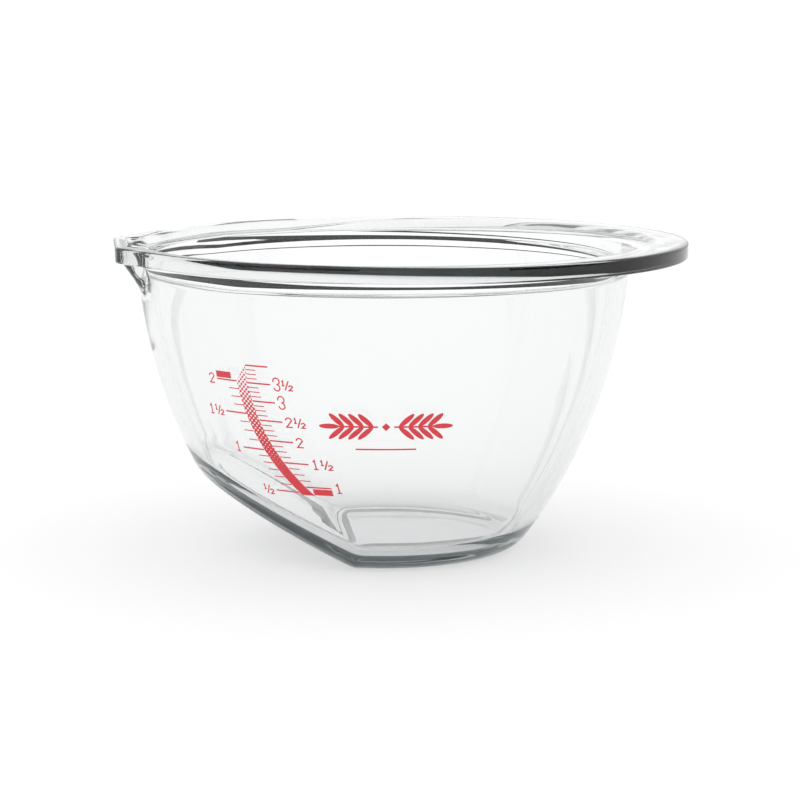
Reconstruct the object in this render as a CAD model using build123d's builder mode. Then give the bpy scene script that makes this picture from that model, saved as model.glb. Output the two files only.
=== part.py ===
from build123d import *
from math import acos, cos, pi, radians, sin, sqrt, tan
import os

os.makedirs("parts", exist_ok=True)

# Tilting mixing bowl of pressed glass, in millimetres. The base stands on Z = 0 about the origin,
# the spout points to -X, the grip to +X, and the red enamel print is on the -Y side.

# round body
bowl_height = 148.0
wall_top_radius = 118.0          # outside of the wall, just under the flange
wall_arc_radius = 255.0          # outside of the wall, seen from the side
wall_top_draft = 3.4             # degrees from upright, just under the flange
wall_thickness = 6.0
floor_thickness = 8.5
base_corner_radius = 14.0
floor_corner_radius = 16.0

# tilt facet, the second flat, which the bowl rests on when it is tipped towards the spout
facet_start = 21.0               # from the axis to the crease in the base
facet_angle = 29.0               # degrees from level

# flange
flange_thickness = 7.5
flange_edge_radius = 1.2
rim_overhang = 6.0               # narrow part of the flange, outside the wall
grip_overhang = 12.0             # wide part, which is round a centre of its own
grip_offset = 16.0
collar_height = 7.5              # thickening of the wall under the flange
collar_width = 3.2
collar_arc_radius = 22.5

# lip, where the inside flares out into the flange, wider towards the grip
lip_depth = 10.0
lip_steps = 5
lip_rim_margin = 6.0             # flat left on the flange at the spout
lip_grip_margin = 15.0           # flat left on the flange at the grip
lip_root_inset = 0.25            # the flare starts this far inside the wall's surface

# spout
spout_overhang = 4.5             # outside the rim
spout_half_width = 33.0
spout_corner_radius = 10.0
spout_side_inset = 14.0          # its sides run out to a circle this far inside the wall
spout_ledge = 3.0                # flat left under the flange, outside the spout's root
spout_root_depth = 16.0          # the root runs out on the wall this far under the flange
spout_root_inset = 1.6           # its end, inside the outside of the wall
spout_root_half_width = 26.0
channel_lip = 6.0                # flat left on the flange, outside the channel
channel_depth = 14.0
channel_floor_inset = 5.0        # end of the channel's floor, inside the outside of the wall
channel_floor_half_width = 20.0
scoop_depth = 48.0               # shallow hollow in the wall that leads up to the channel
scoop_foot_inset = 1.2
scoop_rim_margin = 6.5
scoop_offset = 14.0              # from the axis towards the spout

# enamel print
enamel_thickness = 0.1
scale_azimuth = -38.0            # degrees from -Y towards +X
band_width = 6.0
band_arc_radius = 89.0
band_upright_height = 98.0       # height at which the band stands upright
band_right_edge = -4.5           # its right edge there
band_foot = 1.2                  # length below the lowest mark
mark_gap = 0.12                  # between the band and the nearer corner of a mark
major_length = 11.8
major_weight = 0.7
minor_length = 5.3
minor_weight = 0.45
tag_height = 3.0
tag_length = 8.8
tag_gap = 0.45

# figures
figure_height = 4.4
figure_width = 2.9
figure_weight = 0.6
figure_gap = 1.8                 # between a mark and its figure
figure_space = 0.9               # between one figure and the next
small_height = 2.3               # figures of the half
small_width = 1.8
half_space = 1.74                # between the two figures of the half
slash_width = 2.03
slash_overlap = 0.18
flag_share = 0.2                 # flag of the one
foot_share = 0.15                # side of the one's foot
crown_share = 0.28               # shoulder of the two
waist_share = 0.55               # middle of the three
hook_share = 0.2                 # ends of the three

# badge, two ears of wheat and a seed over a rule
badge_azimuth = -6.3
badge_height = 74.6              # above the base
seed_radius = 1.9
stem_start = 3.6                 # from the middle of the badge
stem_weight = 0.8
grain_length = 9.0
grain_width = 2.4
grain_lean = 42.0                # degrees from the stem
grain_pitch = 4.3
grain_pairs = 4
rule_drop = 10.8                 # from the middle of the badge
rule_length = 27.0
rule_weight = 0.7

# scale
litre = 1.0e6                    # cubic millimetres
pint = 568261.0
litre_majors = (0.5, 1.0, 1.5, 2.0)
litre_steps = (6, 4, 4)          # divisions between one major and the next
litre_figures = (("h", 0.5), ("1", 1.0), ("1h", 1.5), ("2", 2.0))
pint_majors = (1.0, 1.5, 2.0, 2.5, 3.0, 3.5, 4.0)
pint_steps = (4, 4, 4, 4, 4, 4)
pint_figures = (("1", 1.0), ("1h", 1.5), ("2", 2.0), ("2h", 2.5), ("3", 3.0), ("3h", 3.5))
slice_height = 0.05              # of the slices that the hollow is measured in

flange_bottom = bowl_height - flange_thickness
arc_centre_height = flange_bottom + wall_arc_radius * sin(radians(wall_top_draft))
arc_centre_radius = wall_top_radius - wall_arc_radius * cos(radians(wall_top_draft))
rim_radius = wall_top_radius + rim_overhang
grip_radius = wall_top_radius + grip_overhang
spout_reach = rim_radius + spout_overhang
spout_side_radius = wall_top_radius - spout_side_inset


def wall_radius(height, inset=0.0):
    """Radius of the outside of the wall, or of the surface that lies inset inside it."""
    drop = arc_centre_height - height
    return arc_centre_radius + sqrt((wall_arc_radius - inset) ** 2 - drop**2)


def wall_arc(low, high, inset=0.0):
    """The wall's arc between two heights, seen from the side."""
    heights = (low, (low + high) / 2, high)
    return ThreePointArc(*[(wall_radius(height, inset), height) for height in heights])


def round_half(low, high, inset=0.0):
    """Half section of the round body between two heights, closed on the axis."""
    with BuildLine() as outline:
        wall = wall_arc(low, high, inset)
        Polyline(wall @ 1, (0, high), (0, low), wall @ 0)
    make_face(outline.edges())


def facet_plane(inset=0.0):
    """Plane of the tilt facet, facing into the bowl and moved inwards by inset."""
    inward = Vector(sin(radians(facet_angle)), 0, cos(radians(facet_angle)))
    return Plane(Vector(-facet_start, 0, 0) + inward * inset, x_dir=(0, -1, 0), z_dir=inward)


def bottom_edges(body):
    """Edges of the flat bottom and of the facet beside it."""
    flat = body.faces().filter_by(Axis.Z).sort_by(Axis.Z)[0]
    facet = body.faces().filter_by(facet_plane())[0]
    return ShapeList(dict.fromkeys(flat.edges() + facet.edges()))


def spout_hull(reach, half_width, *rounds):
    """Outline drawn tight round the spout's two corners and each (offset, radius) circle."""
    corner_x = spout_corner_radius - reach
    corner_y = half_width - spout_corner_radius
    with Locations((corner_x, corner_y), (corner_x, -corner_y)):
        Circle(spout_corner_radius)
    for offset, radius in rounds:
        with Locations((offset, 0)):
            Circle(radius)
    make_hull()


# Round hollow of the bowl, with its own flat floor and facet.
with BuildPart() as hollow:
    with BuildSketch(Plane.XZ):
        round_half(floor_thickness, bowl_height, wall_thickness)
    revolve(axis=Axis.Z)
    split(bisect_by=facet_plane(floor_thickness), keep=Keep.TOP)
    fillet(bottom_edges(hollow), floor_corner_radius)

# Flare of the lip, as a quarter turn from upright to level.
lip_bottom = bowl_height - lip_depth
lip_root_radius = wall_radius(lip_bottom, wall_thickness) - lip_root_inset
lip_spout_reach = rim_radius - lip_rim_margin
lip_grip_reach = grip_offset + grip_radius - lip_grip_margin
lip_radius = (lip_spout_reach + lip_grip_reach) / 2
lip_offset = (lip_grip_reach - lip_spout_reach) / 2
with BuildPart() as flare:
    for step in range(lip_steps + 1):
        turn = radians(90) * step / lip_steps
        spread = 1 - cos(turn)
        with BuildSketch(Plane.XY.offset(lip_bottom + lip_depth * sin(turn))):
            with Locations((lip_offset * spread, 0)):
                Circle(lip_root_radius + (lip_radius - lip_root_radius) * spread)
    loft()

# Channel of the spout, and the shallow scoop that leads up to it.
channel_reach = spout_reach - channel_lip
channel_floor_reach = wall_top_radius - channel_floor_inset
with BuildPart() as channel:
    with BuildSketch(Plane.XY.offset(bowl_height - channel_depth)):
        floor_round = (0, spout_side_radius - channel_lip)
        spout_hull(channel_floor_reach, channel_floor_half_width, floor_round)
    with BuildSketch(Plane.XY.offset(bowl_height)):
        spout_hull(channel_reach, spout_half_width - channel_lip, (0, spout_side_radius))
    loft()

scoop_foot = bowl_height - scoop_depth
scoop_foot_radius = wall_radius(scoop_foot, wall_thickness) - scoop_foot_inset - scoop_offset
scoop_top_radius = rim_radius - scoop_rim_margin - scoop_offset
with BuildPart() as scoop:
    with BuildSketch(Plane.XZ):
        with BuildLine():
            Polyline(
                (0, scoop_foot),
                (scoop_foot_radius, scoop_foot),
                (scoop_top_radius, bowl_height),
                (0, bowl_height),
                close=True,
            )
        make_face()
    revolve(axis=Axis.Z)

collar_bottom = flange_bottom - collar_height
with BuildPart() as glass_bowl:
    with BuildSketch(Plane.XZ):
        round_half(0, bowl_height)
    revolve(axis=Axis.Z)
    split(bisect_by=facet_plane(), keep=Keep.TOP)
    fillet(bottom_edges(glass_bowl), base_corner_radius)

    # collar
    collar_foot = (wall_radius(collar_bottom), collar_bottom)
    collar_edge = (wall_top_radius + collar_width, flange_bottom)
    collar_root = wall_radius(collar_bottom, wall_thickness / 2)
    with BuildSketch(Plane.XZ):
        with BuildLine():
            RadiusArc(collar_edge, collar_foot, -collar_arc_radius)
            Polyline(collar_foot, (collar_root, collar_bottom), (collar_root, flange_bottom), collar_edge)
        make_face()
    revolve(axis=Axis.Z)

    # root of the spout, under the flange
    root_bottom = flange_bottom - spout_root_depth
    with BuildSketch(Plane.XY.offset(root_bottom)):
        root_round = (0, spout_side_radius - spout_ledge)
        spout_hull(wall_radius(root_bottom) - spout_root_inset, spout_root_half_width, root_round)
    with BuildSketch(Plane.XY.offset(flange_bottom)):
        ledge_half_width = spout_half_width - spout_ledge
        spout_hull(spout_reach - spout_ledge, ledge_half_width, (0, spout_side_radius))
    loft()

    # flange
    with BuildSketch(Plane.XY.offset(flange_bottom)):
        spout_hull(spout_reach, spout_half_width, (0, rim_radius), (grip_offset, grip_radius))
    extrude(amount=flange_thickness)
    level_faces = glass_bowl.faces().filter_by(Axis.Z)
    flange_faces = level_faces.filter_by_position(Axis.Z, flange_bottom, bowl_height)
    flange_edges = [edge for face in flange_faces for edge in face.outer_wire().edges()]
    fillet(flange_edges, flange_edge_radius)

    # inside
    add(hollow.part, mode=Mode.SUBTRACT)
    add(flare.part, mode=Mode.SUBTRACT)
    add(channel.part, mode=Mode.SUBTRACT)
    with Locations((-scoop_offset, 0)):
        add(scoop.part, mode=Mode.SUBTRACT)
glass_bowl.part.label = "glass_bowl"
export_step(glass_bowl.part, "parts/glass_bowl.step")


# Enamel print. Each shape is drawn on an upright plane through the axis, with x to the right and
# y upwards from the base. It is then pushed outwards and cut to a thin skin on the wall.


def slice_area(height):
    """Open area of the hollow at a height, which is a circle less what the facet cuts off."""
    radius = wall_radius(height, wall_thickness)
    tilt = radians(facet_angle)
    facet_lift = height - floor_thickness / cos(tilt)
    cut = min(max(facet_start + facet_lift / tan(tilt), -radius), radius)
    half_angle = acos(cut / radius)
    return pi * radius**2 - radius**2 * half_angle + cut * radius * sin(half_angle)


def fill_height(volume):
    """Height above the base that a volume of liquid reaches when the bowl stands level."""
    height, filled = floor_thickness, 0.0
    while filled < volume:
        filled += slice_area(height + slice_height / 2) * slice_height
        height += slice_height
    return height


def mark_heights(majors, steps, unit):
    """Heights of all the marks from the first major to the last, with True for a major."""
    marks = []
    for lower, upper, count in zip(majors, majors[1:], steps):
        for step in range(count):
            volume = lower + (upper - lower) * step / count
            marks.append((fill_height(volume * unit), step == 0))
    return marks + [(fill_height(majors[-1] * unit), True)]


def facing(azimuth):
    """Upright plane through the axis that faces outwards at an azimuth."""
    turn = radians(azimuth)
    return Plane((0, 0, 0), x_dir=(cos(turn), sin(turn), 0), z_dir=(sin(turn), -cos(turn), 0))


def band_edge(height, side):
    """Edge of the band at a height: side is 1 for its right edge and -1 for its left."""
    drop = band_upright_height - height
    right = band_right_edge + band_arc_radius - sqrt(band_arc_radius**2 - drop**2)
    return right if side > 0 else right - band_width


def mark_start(height, side, weight):
    """Inner end of a mark, clear of the band along both of the mark's long edges."""
    reaches = [side * band_edge(height + rise, side) for rise in (-weight / 2, weight / 2)]
    return side * (max(reaches) + mark_gap)


def mark_end(height, side):
    """Outer end of a major mark."""
    return mark_start(height, side, major_weight) + side * major_length


def draw_marks(marks, side):
    """Level marks on one side of the band."""
    for height, major in marks:
        length, weight = (major_length, major_weight) if major else (minor_length, minor_weight)
        middle = mark_start(height, side, weight) + side * length / 2
        with Locations((middle, height)):
            Rectangle(length, weight)


def draw_figure(figure, x, y, width, height):
    """One figure whose lower left corner is at x, y."""
    right, top, middle = x + width, y + height, x + width / 2
    with BuildLine() as strokes:
        if figure == "1":
            Polyline((x + flag_share * width, top - flag_share * height), (middle, top), (middle, y))
            Line((x + foot_share * width, y), (right - foot_share * width, y))
        if figure == "2":
            shoulder = top - crown_share * height
            crown = ThreePointArc((x, shoulder), (middle, top), (right, shoulder))
            Polyline(crown @ 1, (x, y), (right, y))
        if figure == "3":
            waist, hook = y + waist_share * height, hook_share * height
            ThreePointArc((x, top - hook), (right, (top + waist) / 2), (middle, waist))
            ThreePointArc((middle, waist), (right, (y + waist) / 2), (x, y + hook))
        if figure == "/":
            Line((x, y), (right, top))
    edges = strokes.edges()
    for stroke in edges if figure == "3" else Wire.combine(edges):
        trace(stroke, line_width=figure_weight)


def draw_half(x, y):
    """A half, as a small one and two beside a slash."""
    draw_figure("1", x, y + figure_height - small_height, small_width, small_height)
    draw_figure("/", x + small_width - slash_overlap, y, slash_width, figure_height)
    draw_figure("2", x + small_width + half_space, y, small_width, small_height)


def draw_label(label, height, side):
    """Figures beside a major mark, where the letter h stands for a half."""
    widths = [2 * small_width + half_space if figure == "h" else figure_width for figure in label]
    length = sum(widths) + figure_space * (len(label) - 1)
    x = mark_end(height, side) + side * figure_gap - (length if side < 0 else 0)
    y = height - figure_height / 2
    for figure, width in zip(label, widths):
        if figure == "h":
            draw_half(x, y)
        else:
            draw_figure(figure, x, y, width, figure_height)
        x += width + figure_space


def write_node(node, name):
    """Label one finished sub-part and write it."""
    node.part.label = name
    export_step(node.part, f"parts/{name}.step")


with BuildPart() as enamel_skin:
    with BuildSketch(Plane.XZ):
        with BuildLine():
            skin_inner = wall_arc(base_corner_radius, collar_bottom)
            skin_outer = wall_arc(base_corner_radius, collar_bottom, -enamel_thickness)
            Line(skin_inner @ 0, skin_outer @ 0)
            Line(skin_inner @ 1, skin_outer @ 1)
        make_face()
    revolve(axis=Axis.Z)

print_reach = wall_top_radius + collar_width
scale_plane = facing(scale_azimuth)
badge_plane = facing(badge_azimuth)
litre_marks = mark_heights(litre_majors, litre_steps, litre)
pint_marks = mark_heights(pint_majors, pint_steps, pint)

# The band's top is cut on the slant, from the highest mark of one unit to that of the other.
band_bottom = litre_marks[0][0] - band_foot
band_tops = {1: pint_marks[-1][0], -1: litre_marks[-1][0]}
with BuildPart() as scale_band:
    with BuildSketch(scale_plane):
        with BuildLine():
            edges = {}
            for side, band_top in band_tops.items():
                heights = (band_bottom, (band_bottom + band_top) / 2, band_top)
                edges[side] = ThreePointArc(*[(band_edge(height, side), height) for height in heights])
            Line(edges[1] @ 0, edges[-1] @ 0)
            Line(edges[1] @ 1, edges[-1] @ 1)
        make_face()
    extrude(amount=print_reach)
    add(enamel_skin.part, mode=Mode.INTERSECT)
write_node(scale_band, "scale_band")

scales = (
    ("litre", litre, litre_marks, litre_figures, -1),
    ("pint", pint, pint_marks, pint_figures, 1),
)
for name, unit, marks, labels, side in scales:
    with BuildPart() as unit_marks:
        with BuildSketch(scale_plane):
            draw_marks(marks, side)
        extrude(amount=print_reach)
        add(enamel_skin.part, mode=Mode.INTERSECT)
    write_node(unit_marks, f"{name}_marks")

    with BuildPart() as unit_figures:
        with BuildSketch(scale_plane):
            for label, amount in labels:
                draw_label(label, fill_height(amount * unit), side)
        extrude(amount=print_reach)
        add(enamel_skin.part, mode=Mode.INTERSECT)
    write_node(unit_figures, f"{name}_figures")

# One plain tag names each unit: over the highest mark in litres, and under the lowest in pints.
tag_drop = tag_gap + (tag_height + major_weight) / 2
tags = (
    ("litre_tag", -1, litre_marks[-1][0], tag_drop),
    ("pint_tag", 1, pint_marks[0][0], -tag_drop),
)
for name, side, mark_height, shift in tags:
    with BuildPart() as unit_tag:
        with BuildSketch(scale_plane):
            with Locations((mark_end(mark_height, side) - side * tag_length / 2, mark_height + shift)):
                Rectangle(tag_length, tag_height)
        extrude(amount=print_reach)
        add(enamel_skin.part, mode=Mode.INTERSECT)
    write_node(unit_tag, name)

with BuildPart() as badge:
    with BuildSketch(badge_plane):
        with Locations((0, badge_height)):
            RegularPolygon(seed_radius, 4)
        stem_length = grain_pitch * grain_pairs
        with Locations((stem_start + (stem_length + stem_weight) / 2, badge_height)):
            Rectangle(stem_length + stem_weight, stem_weight)
        with Locations((stem_start + stem_length + grain_length / 2, badge_height)):
            Ellipse(grain_length / 2, grain_width / 2)
        for pair in range(grain_pairs):
            foot = stem_start + grain_pitch * (pair + 0.5)
            for lean in (grain_lean, -grain_lean):
                grain_x = foot + grain_length / 2 * cos(radians(lean))
                grain_y = badge_height + grain_length / 2 * sin(radians(lean))
                with Locations(Location((grain_x, grain_y), lean)):
                    Ellipse(grain_length / 2, grain_width / 2)
        mirror(about=Plane.YZ)
    extrude(amount=print_reach)
    add(enamel_skin.part, mode=Mode.INTERSECT)
write_node(badge, "badge")

with BuildPart() as badge_rule:
    with BuildSketch(badge_plane):
        with Locations((0, badge_height - rule_drop)):
            Rectangle(rule_length, rule_weight)
    extrude(amount=print_reach)
    add(enamel_skin.part, mode=Mode.INTERSECT)
write_node(badge_rule, "badge_rule")
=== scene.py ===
from math import cos, pi, radians, sin

import bpy
import numpy as np
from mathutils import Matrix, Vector


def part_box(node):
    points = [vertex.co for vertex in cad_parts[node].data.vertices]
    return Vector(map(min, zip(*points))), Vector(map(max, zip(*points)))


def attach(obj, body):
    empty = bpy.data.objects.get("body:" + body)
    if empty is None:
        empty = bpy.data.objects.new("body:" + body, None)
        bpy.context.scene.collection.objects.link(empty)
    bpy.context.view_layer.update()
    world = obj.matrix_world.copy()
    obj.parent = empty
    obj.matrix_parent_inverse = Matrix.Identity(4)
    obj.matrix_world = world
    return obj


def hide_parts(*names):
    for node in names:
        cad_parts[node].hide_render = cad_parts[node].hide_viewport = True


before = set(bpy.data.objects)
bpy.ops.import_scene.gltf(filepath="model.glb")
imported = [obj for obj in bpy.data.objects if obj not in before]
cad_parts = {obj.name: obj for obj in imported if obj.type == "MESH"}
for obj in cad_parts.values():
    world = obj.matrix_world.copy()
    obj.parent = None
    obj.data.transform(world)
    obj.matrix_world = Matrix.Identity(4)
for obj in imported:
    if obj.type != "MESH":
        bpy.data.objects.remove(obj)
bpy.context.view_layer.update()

MM = 0.001

# Sizes in millimetres, the same as the frame's. The axis of the bowl is upright, the spout points
# along -X, and the wide side of the flange, which the hand grips, lies along +X.
BOWL_LOW, BOWL_HIGH = ([round(v / MM, 3) for v in corner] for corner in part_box("glass_bowl"))
HEIGHT = BOWL_HIGH[2]

# Wall, base and tilt facet
WALL_TOP_RADIUS = 118.0
WALL_ARC_RADIUS = 255.0
WALL_TOP_DRAFT = radians(3.4)
WALL_THICKNESS = 6.0
FLOOR_THICKNESS = 8.5
BASE_CORNER_RADIUS = 14.0
FLOOR_CORNER_RADIUS = 16.0
FACET_START = 21.0               # from the axis to the crease between the base and the facet
FACET_ANGLE = radians(29.0)

# Flange and the collar under it
FLANGE_THICKNESS = 7.5
FLANGE_EDGE_RADIUS = 1.2
RIM_RADIUS = 124.0
GRIP_RADIUS = 130.0
GRIP_OFFSET = 16.0               # from the axis to the centre of the grip, towards +X
COLLAR_HEIGHT = 7.5
COLLAR_WIDTH = 3.2
COLLAR_ARC_RADIUS = 22.5

# Rounded lip of the mouth
LIP_DEPTH = 10.0
LIP_RADIUS = 124.5
LIP_OFFSET = 6.5

# Spout: its outline, its root on the wall, its channel and the scoop that leads up to it
SPOUT_REACH = -BOWL_LOW[0]
SPOUT_HALF_WIDTH = 33.0
SPOUT_CORNER_RADIUS = 10.0
SPOUT_SIDE_RADIUS = 104.0
SPOUT_LEDGE = 3.0
SPOUT_ROOT_DEPTH = 16.0
SPOUT_ROOT_INSET = 1.6
SPOUT_ROOT_HALF_WIDTH = 26.0
CHANNEL_LIP = 6.0
CHANNEL_DEPTH = 14.0
CHANNEL_FLOOR_REACH = 113.0
CHANNEL_FLOOR_HALF_WIDTH = 20.0
SCOOP_DEPTH = 48.0
SCOOP_FOOT_INSET = 1.2
SCOOP_RIM_MARGIN = 6.5
SCOOP_OFFSET = 14.0
SOFT_CREASE = 1.2                # creases of pressed glass come out of the mould this soft

# Printed band. The dots of a real one are about 1.3 mm apart and run together at a distance, so they
# are drawn as coarse as they need to be to show.
BAND_AZIMUTH = radians(-38.0)    # from -Y towards +X
BAND_WIDTH = 6.0
BAND_ARC_RADIUS = 89.0
BAND_UPRIGHT_HEIGHT = 98.0
BAND_RIGHT_EDGE = -4.5
MARK_WEIGHT = 0.7
DOT_SPACING = 1.6
DOT_HEIGHTS = (48.0, 58.0, 74.0, 100.0)
DOT_LEVELS = (-2.1, -1.6, -0.6, 0.6)    # at those heights: 2 is no ink and -2 is solid ink
INK_STEP = 0.14                  # steps in which the outlines of the dots are drawn
INK_STEPS_UP = 440
INK_SUNK, INK_PROUD = 0.02, 0.08

# Worked out from those
FLANGE_BOTTOM = HEIGHT - FLANGE_THICKNESS
COLLAR_BOTTOM = FLANGE_BOTTOM - COLLAR_HEIGHT
ROOT_BOTTOM = FLANGE_BOTTOM - SPOUT_ROOT_DEPTH
LIP_BOTTOM = HEIGHT - LIP_DEPTH
CHANNEL_BOTTOM = HEIGHT - CHANNEL_DEPTH
SCOOP_BOTTOM = HEIGHT - SCOOP_DEPTH
ARC_CENTRE_HEIGHT = FLANGE_BOTTOM + WALL_ARC_RADIUS * sin(WALL_TOP_DRAFT)
ARC_CENTRE_RADIUS = WALL_TOP_RADIUS - WALL_ARC_RADIUS * cos(WALL_TOP_DRAFT)

# How finely the glass is divided
ROUND_STEPS = 440
ANGLES = np.arange(ROUND_STEPS) * 2 * pi / ROUND_STEPS
OUTLINE_STEPS = 3600
EDGE_TURNS = np.linspace(0, pi / 2, 8)
LIP_TURNS = np.linspace(pi / 2, 0, 24)
FLAT_SHARES = (0.25, 0.5, 0.75)
WALL_RINGS, ROOT_RINGS, COLLAR_RINGS = 14, 10, 11
SCOOP_RINGS, INNER_WALL_RINGS = 19, 8

# The rounded bottom is found along rays from a point on the axis, most of them towards its corner
EYE_HEIGHT = 75.0
BOTTOM_RINGS = 60
RAY_SHARES = (0, 0.06, 0.92, 1)
RAY_TURNS = (0, 12, 80, 90)      # degrees from straight down
RAY_LENGTH = 250.0
RAY_HALVINGS = 44
LEAST_ROUNDING = 0.02            # share of the corner that is left where two faces meet almost flat

# Studio, in metres unless a line says otherwise
CAMERA_PLACE = (-145.7 * MM, -1186.5 * MM, 262.2 * MM)
CAMERA_AIM = (0, 0, 75 * MM)
CAMERA_LENS = 112.4              # millimetres, as is the width of the frame behind it
CAMERA_FRAME = 36.0
CAMERA_SHIFT = (0.021, -0.0131)
FLOOR_SIZE = 12.0
AIR_UNDER_BASE = 0.3 * MM        # the thin layer of air that is left under a real base
SURROUND_STRENGTH = 1.1
TABLE_GLOW = 0.37
LIGHT_BOUNCES = 24               # enough to cross both walls of the bowl and its flange
DRAPE_RADIUS = 5.0
DRAPE_STEPS = 49
# Name, lower and upper edge, first and last degree from +Y towards +X, and whether polished faces
# mirror it. None of them hangs where the flat floor of the glass would mirror it to the front.
DRAPES = (
    ("low_drape", 0.0, 0.2, -150.0, 150.0, True),
    ("middle_drape", 0.62, 0.95, -40.0, 40.0, False),
    ("high_drape", 1.25, 1.8, 4.0, 60.0, False),
)


# Shape of the glass, as radii about the axis of the bowl

def wall_radius(z, inset=0.0):
    """Radius of the outside of the wall, or of the surface that lies inset inside it."""
    arc = WALL_ARC_RADIUS - inset
    return ARC_CENTRE_RADIUS + np.sqrt(arc ** 2 - (ARC_CENTRE_HEIGHT - z) ** 2)


def offset_circle(offset, radius):
    """Radius at each angle of a circle whose centre lies offset along X."""
    return offset * np.cos(ANGLES) + np.sqrt(radius ** 2 - (offset * np.sin(ANGLES)) ** 2)


def hull_radius(circles):
    """Radius at each angle of an outline drawn tight round (x, y, radius) circles."""
    turns = np.arange(OUTLINE_STEPS) * 2 * pi / OUTLINE_STEPS
    support = np.max([x * np.cos(turns) + y * np.sin(turns) + r for x, y, r in circles], axis=0)
    facing = np.cos(ANGLES[:, None] - turns[None, :])
    least = 0.05                 # sides that turn further away than this never bound the outline
    return np.min(np.where(facing > least, support / np.maximum(facing, least), np.inf), axis=1)


def spout_circles(reach, half_width, *rounds):
    """Circles of the spout's two corners, and the (offset, radius) circles behind them."""
    x, y = SPOUT_CORNER_RADIUS - reach, half_width - SPOUT_CORNER_RADIUS
    corners = [(x, y, SPOUT_CORNER_RADIUS), (x, -y, SPOUT_CORNER_RADIUS)]
    return corners + [(offset, 0.0, radius) for offset, radius in rounds]


def soft_max(a, b, soft):
    """Larger of two values, with the crease between them rounded."""
    blend = np.clip(1 - np.abs(a - b) / (2 * soft), 0, 1)
    return np.maximum(a, b) + blend ** 2 * soft / 2


def rounded_corner(a, b, radius):
    """Joined distance to two surfaces, with the corner between them rounded."""
    reach_a, reach_b = np.maximum(radius + a, 0), np.maximum(radius + b, 0)
    return np.minimum(-radius, np.maximum(a, b)) + np.hypot(reach_a, reach_b)


def bottom_surface(inset, low, corner):
    """Radii and heights of a rounded bottom that lies at height low inside its corner."""
    shares = np.arange(1, BOTTOM_RINGS + 1) / BOTTOM_RINGS
    fan = np.interp(shares, RAY_SHARES, np.radians(RAY_TURNS))[None, :]
    out, down = np.sin(fan), np.cos(fan)
    side = np.cos(ANGLES)[:, None]
    crease = corner * (1 - cos(FACET_ANGLE))
    near = np.zeros((ROUND_STEPS, BOTTOM_RINGS))
    far = np.full((ROUND_STEPS, BOTTOM_RINGS), RAY_LENGTH)
    for _ in range(RAY_HALVINGS):
        t = (near + far) / 2
        r, z = t * out, EYE_HEIGHT - t * down
        from_centre_r, from_centre_z = r - ARC_CENTRE_RADIUS, z - ARC_CENTRE_HEIGHT
        reach = np.hypot(from_centre_r, from_centre_z)
        wall = reach - (WALL_ARC_RADIUS - inset)
        base = low - z
        facet = -(r * side + FACET_START) * sin(FACET_ANGLE) - z * cos(FACET_ANGLE) + low
        bottom = rounded_corner(base, facet, crease)

        # the flatter the wall and the bottom meet, the less there is to round
        tilt = FACET_ANGLE * np.clip((facet - base) / (2 * crease) + 0.5, 0, 1)
        meet = -np.sin(tilt) * side * from_centre_r / reach - np.cos(tilt) * from_centre_z / reach
        inside = rounded_corner(wall, bottom, corner * np.maximum(1 - meet, LEAST_ROUNDING)) < 0
        near, far = np.where(inside, t, near), np.where(inside, far, t)
    t = (near + far) / 2
    return t * out, EYE_HEIGHT - t * down


FLANGE_OUTLINE = hull_radius(spout_circles(
    SPOUT_REACH, SPOUT_HALF_WIDTH, (0.0, RIM_RADIUS), (GRIP_OFFSET, GRIP_RADIUS)))
ROOT_FOOT = hull_radius(spout_circles(
    wall_radius(ROOT_BOTTOM) - SPOUT_ROOT_INSET, SPOUT_ROOT_HALF_WIDTH,
    (0.0, SPOUT_SIDE_RADIUS - SPOUT_LEDGE)))
ROOT_TOP = hull_radius(spout_circles(
    SPOUT_REACH - SPOUT_LEDGE, SPOUT_HALF_WIDTH - SPOUT_LEDGE, (0.0, SPOUT_SIDE_RADIUS)))
CHANNEL_FLOOR = hull_radius(spout_circles(
    CHANNEL_FLOOR_REACH, CHANNEL_FLOOR_HALF_WIDTH, (0.0, SPOUT_SIDE_RADIUS - CHANNEL_LIP)))
CHANNEL_TOP = hull_radius(spout_circles(
    SPOUT_REACH - CHANNEL_LIP, SPOUT_HALF_WIDTH - CHANNEL_LIP, (0.0, SPOUT_SIDE_RADIUS)))


def collar_radius(z):
    """Radius of the hollow curve that spreads from the wall to the underside of the flange."""
    foot = np.array([wall_radius(COLLAR_BOTTOM), COLLAR_BOTTOM])
    edge = np.array([WALL_TOP_RADIUS + COLLAR_WIDTH, FLANGE_BOTTOM])
    chord = edge - foot
    half = np.hypot(*chord) / 2
    across = np.array([chord[1], -chord[0]]) / (2 * half)
    centre = (foot + edge) / 2 + across * np.sqrt(COLLAR_ARC_RADIUS ** 2 - half ** 2)
    return centre[0] - np.sqrt(np.maximum(COLLAR_ARC_RADIUS ** 2 - (z - centre[1]) ** 2, 0))


def outer_radius(z):
    """Radius at each angle of the outside of the glass under the flange."""
    wall = np.full(ROUND_STEPS, wall_radius(z))
    if z > COLLAR_BOTTOM:
        wall = np.maximum(wall, collar_radius(z))
    if z > ROOT_BOTTOM:
        root = ROOT_FOOT + (ROOT_TOP - ROOT_FOOT) * (z - ROOT_BOTTOM) / SPOUT_ROOT_DEPTH
        wall = soft_max(wall, root, SOFT_CREASE)
    return wall


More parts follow.
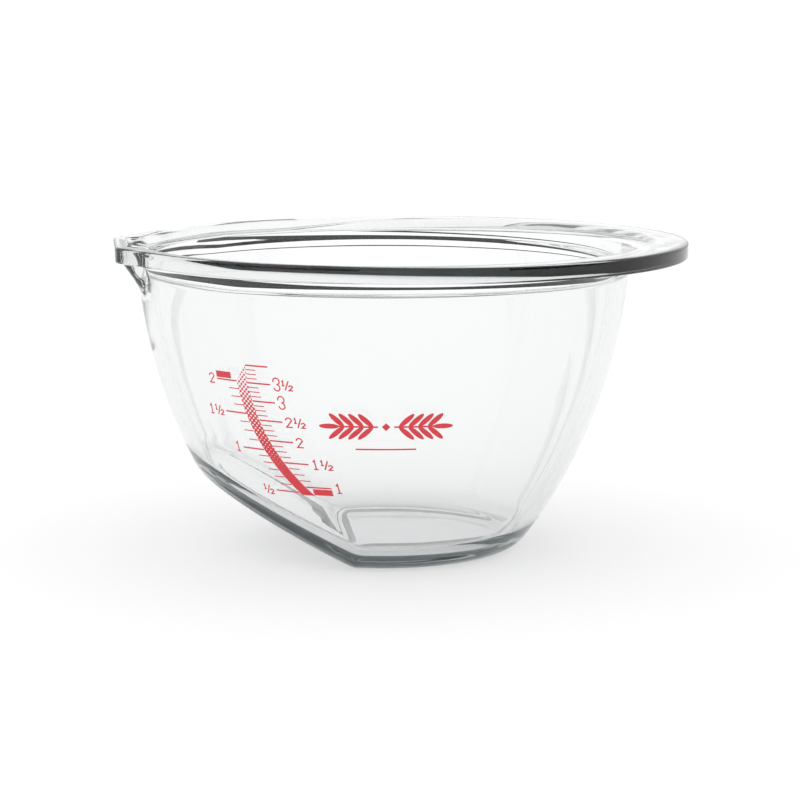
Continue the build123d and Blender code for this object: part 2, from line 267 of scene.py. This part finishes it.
def inner_radius(z):
    """Radius at each angle of the inside of the glass: wall, lip, scoop and channel."""
    wall = np.full(ROUND_STEPS, wall_radius(z, WALL_THICKNESS))
    if z > LIP_BOTTOM:
        spread = 1 - np.sqrt(1 - ((z - LIP_BOTTOM) / LIP_DEPTH) ** 2)
        lip_root = wall_radius(LIP_BOTTOM, WALL_THICKNESS)
        lip = lip_root + (LIP_RADIUS - lip_root) * spread
        wall = np.maximum(wall, offset_circle(LIP_OFFSET * spread, lip))
    if z > SCOOP_BOTTOM:
        foot = wall_radius(SCOOP_BOTTOM, WALL_THICKNESS) - SCOOP_FOOT_INSET - SCOOP_OFFSET
        top = RIM_RADIUS - SCOOP_RIM_MARGIN - SCOOP_OFFSET
        scoop = foot + (top - foot) * (z - SCOOP_BOTTOM) / SCOOP_DEPTH
        wall = soft_max(wall, offset_circle(-SCOOP_OFFSET, scoop), SOFT_CREASE)
    if z > CHANNEL_BOTTOM:
        channel = CHANNEL_FLOOR + (CHANNEL_TOP - CHANNEL_FLOOR) * (z - CHANNEL_BOTTOM) / CHANNEL_DEPTH
        wall = soft_max(wall, channel, SOFT_CREASE)
    return wall


def heights_through(start, *stretches):
    """Heights from start, which is left out, through stretches of (end, number of rings)."""
    heights = []
    for end, rings in stretches:
        heights += list(np.linspace(start, end, rings + 1)[1:])
        start = end
    return heights


def glass_rings():
    """Radii and height of each ring of the glass, up its outside and down its inside."""
    rings = []
    base_r, base_z = bottom_surface(0.0, 0.0, BASE_CORNER_RADIUS)
    rings += [(base_r[:, i], base_z[:, i]) for i in range(BOTTOM_RINGS)]
    for z in heights_through(EYE_HEIGHT, (ROOT_BOTTOM, WALL_RINGS), (COLLAR_BOTTOM, ROOT_RINGS),
                             (FLANGE_BOTTOM, COLLAR_RINGS)):
        rings.append((outer_radius(z), z))

    # flange: underside, rounded edge and top
    root = outer_radius(FLANGE_BOTTOM)
    level_end = FLANGE_OUTLINE - FLANGE_EDGE_RADIUS
    for share in FLAT_SHARES:
        rings.append((root + (np.maximum(level_end, root) - root) * share, FLANGE_BOTTOM))
    for turn in EDGE_TURNS:
        rings.append((level_end + FLANGE_EDGE_RADIUS * sin(turn),
                      FLANGE_BOTTOM + FLANGE_EDGE_RADIUS * (1 - cos(turn))))
    for turn in EDGE_TURNS:
        rings.append((level_end + FLANGE_EDGE_RADIUS * cos(turn),
                      HEIGHT - FLANGE_EDGE_RADIUS * (1 - sin(turn))))
    mouth = inner_radius(HEIGHT)
    for share in FLAT_SHARES:
        rings.append((level_end + (mouth - level_end) * share, HEIGHT))

    # inside
    lip_heights = [LIP_BOTTOM + LIP_DEPTH * sin(turn) for turn in LIP_TURNS]
    for z in lip_heights + heights_through(LIP_BOTTOM, (SCOOP_BOTTOM, SCOOP_RINGS),
                                           (EYE_HEIGHT, INNER_WALL_RINGS)):
        rings.append((inner_radius(z), z))
    floor_r, floor_z = bottom_surface(WALL_THICKNESS, FLOOR_THICKNESS, FLOOR_CORNER_RADIUS)
    rings += [(floor_r[:, i], floor_z[:, i]) for i in reversed(range(BOTTOM_RINGS - 1))]
    return rings


def new_piece(name, points, faces, material):
    """Object with one mesh, made from points in metres, and one material."""
    mesh = bpy.data.meshes.new(name)
    mesh.from_pydata(points, [], faces)
    mesh.validate()
    mesh.materials.append(material)
    piece = bpy.data.objects.new(name, mesh)
    bpy.context.scene.collection.objects.link(piece)
    return piece


def pressed_bowl(glass):
    """The glass as closed rings, joined in order and closed on the axis at both ends."""
    rings = glass_rings()
    radii = np.array([r for r, _ in rings])
    heights = np.array([np.broadcast_to(z, ROUND_STEPS) for _, z in rings])
    points = np.stack([radii * np.cos(ANGLES), radii * np.sin(ANGLES), heights], axis=-1)
    points = np.vstack([points.reshape(-1, 3), [[0, 0, 0], [0, 0, FLOOR_THICKNESS]]]) * MM

    start = np.arange(len(rings) - 1)[:, None] * ROUND_STEPS
    here = np.arange(ROUND_STEPS)[None, :]
    after = (here + 1) % ROUND_STEPS
    above = start + ROUND_STEPS
    quads = np.stack([start + here, start + after, above + after, above + here], axis=-1)
    faces = quads.reshape(-1, 4).tolist()

    base_middle, floor_middle = len(points) - 2, len(points) - 1
    last = (len(rings) - 1) * ROUND_STEPS
    faces += [(base_middle, (i + 1) % ROUND_STEPS, i) for i in range(ROUND_STEPS)]
    faces += [(floor_middle, last + i, last + (i + 1) % ROUND_STEPS) for i in range(ROUND_STEPS)]
    bowl = new_piece("pressed_bowl", points.tolist(), faces, glass)
    bowl.data.shade_smooth()
    return bowl


# Printed band

def band_place(up, across):
    """Drawing-plane place on the band, where up and across run from 0 to 1."""
    bottom, right_top = (corner[2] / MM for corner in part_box("scale_band"))
    left_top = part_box("litre_marks")[1][2] / MM - MARK_WEIGHT / 2
    y = bottom + up * (left_top + (right_top - left_top) * across - bottom)
    bow = BAND_ARC_RADIUS - np.sqrt(BAND_ARC_RADIUS ** 2 - (BAND_UPRIGHT_HEIGHT - y) ** 2)
    return BAND_RIGHT_EDGE + bow - BAND_WIDTH * (1 - across), y


def inked_faces(up, across, ink):
    """Outline points and faces of the part of a grid where ink is above zero."""
    points, index, faces = [], {}, []

    def point(a, b):
        """Number of the outline point between two grid places, or of a place itself."""
        key = (min(a, b), max(a, b))
        if key not in index:
            first, second = key
            share = 0.0 if a == b else ink[first] / (ink[first] - ink[second])
            index[key] = len(points)
            points.append([up[first] + share * (up[second] - up[first]),
                           across[first] + share * (across[second] - across[first])])
        return index[key]

    rows, columns = ink.shape
    for i in range(rows - 1):
        for j in range(columns - 1):
            corners = [(i, j), (i, j + 1), (i + 1, j + 1), (i + 1, j)]
            face = []
            for here, after in zip(corners, corners[1:] + corners[:1]):
                if ink[here] > 0:
                    face.append(point(here, here))
                if (ink[here] > 0) != (ink[after] > 0):
                    face.append(point(here, after))
            if len(face) > 2:
                faces.append(face)
    return points, faces


def printed_band(enamel):
    """The band as dots that grow downwards from its top until they close up into solid ink."""
    up, across = np.meshgrid(np.linspace(0, 1, INK_STEPS_UP),
                             np.linspace(0, 1, round(BAND_WIDTH / INK_STEP)), indexing="ij")
    x, y = band_place(up, across)
    wave = 2 * pi / (DOT_SPACING * 2 ** 0.5)
    peaks = np.cos((x + y) * wave) + np.cos((x - y) * wave)
    outline, faces = inked_faces(up, across, peaks - np.interp(y, DOT_HEIGHTS, DOT_LEVELS))

    # one layer proud of the glass and one sunk in it, with sides between their open edges
    x, y = band_place(*np.array(outline).T)
    layers = []
    for inset in (-INK_PROUD, INK_SUNK):
        reach = np.sqrt(wall_radius(y, inset) ** 2 - x ** 2)
        layers.append(np.stack([x * cos(BAND_AZIMUTH) + reach * sin(BAND_AZIMUTH),
                                x * sin(BAND_AZIMUTH) - reach * cos(BAND_AZIMUTH), y], axis=-1))
    count = len(outline)
    edges = {(a, b) for face in faces for a, b in zip(face, face[1:] + face[:1])}
    sides = [(b, a, a + count, b + count) for a, b in sorted(edges) if (b, a) not in edges]
    back = [[p + count for p in reversed(face)] for face in faces]
    return new_piece("printed_band", (np.vstack(layers) * MM).tolist(), faces + back + sides, enamel)


# Colours and nodes

def linear(code):
    """Linear colour of an sRGB hex value."""
    shares = [int(code[i:i + 2], 16) / 255 for i in (1, 3, 5)]
    return tuple(s / 12.92 if s <= 0.04045 else ((s + 0.055) / 1.055) ** 2.4 for s in shares) + (1.0,)


def scale_of(width):
    """Scale of a noise whose features are this many millimetres wide."""
    return 1 / (width * MM)


def add_node(tree, kind, values=None, **links):
    """Add a node, set the values of its sockets, and link sockets to the outputs of other nodes."""
    node = tree.nodes.new(kind)
    for socket, value in (values or {}).items():
        node.inputs[socket].default_value = value
    for socket, source in links.items():
        tree.links.new(source, node.inputs[socket.replace("_", " ")])
    return node


def new_material(name):
    """Material with no nodes yet, and its node tree."""
    material = bpy.data.materials.new(name)
    material.use_nodes = True
    material.node_tree.nodes.clear()
    return material, material.node_tree


# Materials

def pressed_glass():
    # Borosilicate glass, pressed in an iron mould and fire polished: clear and bright, with a slow
    # ripple, about 36 mm wide, that bends what shows through it, and grey where it is looked into
    # along its wall.
    material, tree = new_material("pressed_borosilicate_glass")
    coords = add_node(tree, "ShaderNodeTexCoord")
    ripple = add_node(tree, "ShaderNodeTexNoise", {
        "Scale": scale_of(35.7), "Detail": 1.0,
    }, Vector=coords.outputs["Object"])
    bump = add_node(tree, "ShaderNodeBump", {
        "Strength": 0.12, "Distance": 0.4 * MM,
    }, Height=ripple.outputs["Fac"])
    glass = add_node(tree, "ShaderNodeBsdfPrincipled", {
        "Base Color": linear("#FFFFFF"), "Roughness": 0.0, "IOR": 1.47, "Transmission Weight": 1.0,
    }, Normal=bump.outputs["Normal"])
    depth = add_node(tree, "ShaderNodeVolumeAbsorption", {
        "Color": linear("#B6BEC0"), "Density": 17.0,
    })
    add_node(tree, "ShaderNodeOutputMaterial",
             Surface=glass.outputs["BSDF"], Volume=depth.outputs["Volume"])
    return material


def fired_enamel():
    # Vitreous enamel, screen printed and fired onto the glass: an opaque red of uneven strength with
    # a soft gloss and a grainy surface. The real grain, about 0.1 mm wide, is too fine to show, so
    # it is drawn 0.4 mm wide.
    material, tree = new_material("fired_red_enamel")
    coords = add_node(tree, "ShaderNodeTexCoord")
    grain = add_node(tree, "ShaderNodeTexNoise", {
        "Scale": scale_of(0.4), "Detail": 2.0,
    }, Vector=coords.outputs["Object"])
    bump = add_node(tree, "ShaderNodeBump", {
        "Strength": 0.2, "Distance": 0.02 * MM,
    }, Height=grain.outputs["Fac"])
    patches = add_node(tree, "ShaderNodeTexNoise", {
        "Scale": scale_of(2.5), "Detail": 2.0,
    }, Vector=coords.outputs["Object"])
    tone = add_node(tree, "ShaderNodeValToRGB", Fac=patches.outputs["Fac"])
    tone.color_ramp.elements[0].color = linear("#C12A37")
    tone.color_ramp.elements[1].color = linear("#DE3A43")
    ink = add_node(tree, "ShaderNodeBsdfPrincipled", {
        "Roughness": 0.35, "IOR": 1.5,
    }, Base_Color=tone.outputs["Color"], Normal=bump.outputs["Normal"])
    add_node(tree, "ShaderNodeOutputMaterial", Surface=ink.outputs["BSDF"])
    return material


def studio_paper():
    # White background paper, uncoated and smooth, on a table that is lit a little from below: an
    # even pale floor with no sheen, on which the glass leaves only a faint shadow.
    material, tree = new_material("matt_white_paper")
    paper = add_node(tree, "ShaderNodeBsdfPrincipled", {
        "Base Color": linear("#CFCFCF"), "Roughness": 1.0, "Specular IOR Level": 0.0,
        "Emission Color": linear("#FFFFFF"), "Emission Strength": TABLE_GLOW,
    })
    add_node(tree, "ShaderNodeOutputMaterial", Surface=paper.outputs["BSDF"])
    return material


def black_velvet():
    # Black cotton velvet, woven with a cut pile: it sends back hardly any light, so the glass shows
    # it as dark lines.
    material, tree = new_material("black_velvet")
    pile = add_node(tree, "ShaderNodeBsdfDiffuse", {"Color": linear("#0D0D0D")})
    add_node(tree, "ShaderNodeOutputMaterial", Surface=pile.outputs["BSDF"])
    return material


# Studio

def black_drape(name, low, high, first, last, mirrored, velvet):
    """Curved drape round the table that only the glass shows, as dark lines along its edges."""
    turns = np.radians(np.linspace(first, last, DRAPE_STEPS))
    points = [(DRAPE_RADIUS * sin(t), DRAPE_RADIUS * cos(t), z) for z in (low, high) for t in turns]
    faces = [(i, i + 1, DRAPE_STEPS + i + 1, DRAPE_STEPS + i) for i in range(DRAPE_STEPS - 1)]
    drape = new_piece(name, points, faces, velvet)
    drape.visible_camera = False
    drape.visible_diffuse = False
    drape.visible_shadow = False
    drape.visible_glossy = mirrored


camera = bpy.data.objects.new("camera", bpy.data.cameras.new("camera"))
camera.location = CAMERA_PLACE
camera.rotation_euler = (Vector(CAMERA_AIM) - camera.location).to_track_quat("-Z", "Y").to_euler()
camera.data.lens = CAMERA_LENS
camera.data.sensor_width = CAMERA_FRAME
camera.data.shift_x, camera.data.shift_y = CAMERA_SHIFT
bpy.context.scene.collection.objects.link(camera)
bpy.context.scene.camera = camera

bpy.ops.mesh.primitive_plane_add(size=FLOOR_SIZE)
floor = bpy.context.object
floor.name = "floor"
floor.location.z = -AIR_UNDER_BASE
floor.data.materials.append(studio_paper())

surround = bpy.data.worlds.new("soft_white_surround")
surround.use_nodes = True
surround.node_tree.nodes.clear()
light = add_node(surround.node_tree, "ShaderNodeBackground", {
    "Color": linear("#FFFFFF"), "Strength": SURROUND_STRENGTH,
})
add_node(surround.node_tree, "ShaderNodeOutputWorld", Surface=light.outputs["Background"])
bpy.context.scene.world = surround

velvet = black_velvet()
for drape in DRAPES:
    black_drape(*drape, velvet)

bpy.context.scene.view_settings.view_transform = "Standard"
for limit in ("max_bounces", "glossy_bounces", "transmission_bounces"):
    setattr(bpy.context.scene.cycles, limit, LIGHT_BOUNCES)

# The bowl and its print
bowl = pressed_bowl(pressed_glass())
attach(bowl, "root")
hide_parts("glass_bowl")

enamel = fired_enamel()
band = printed_band(enamel)
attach(band, "root")
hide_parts("scale_band")
for name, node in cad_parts.items():
    if name not in ("glass_bowl", "scale_band"):
        node.data.materials.clear()
        node.data.materials.append(enamel)
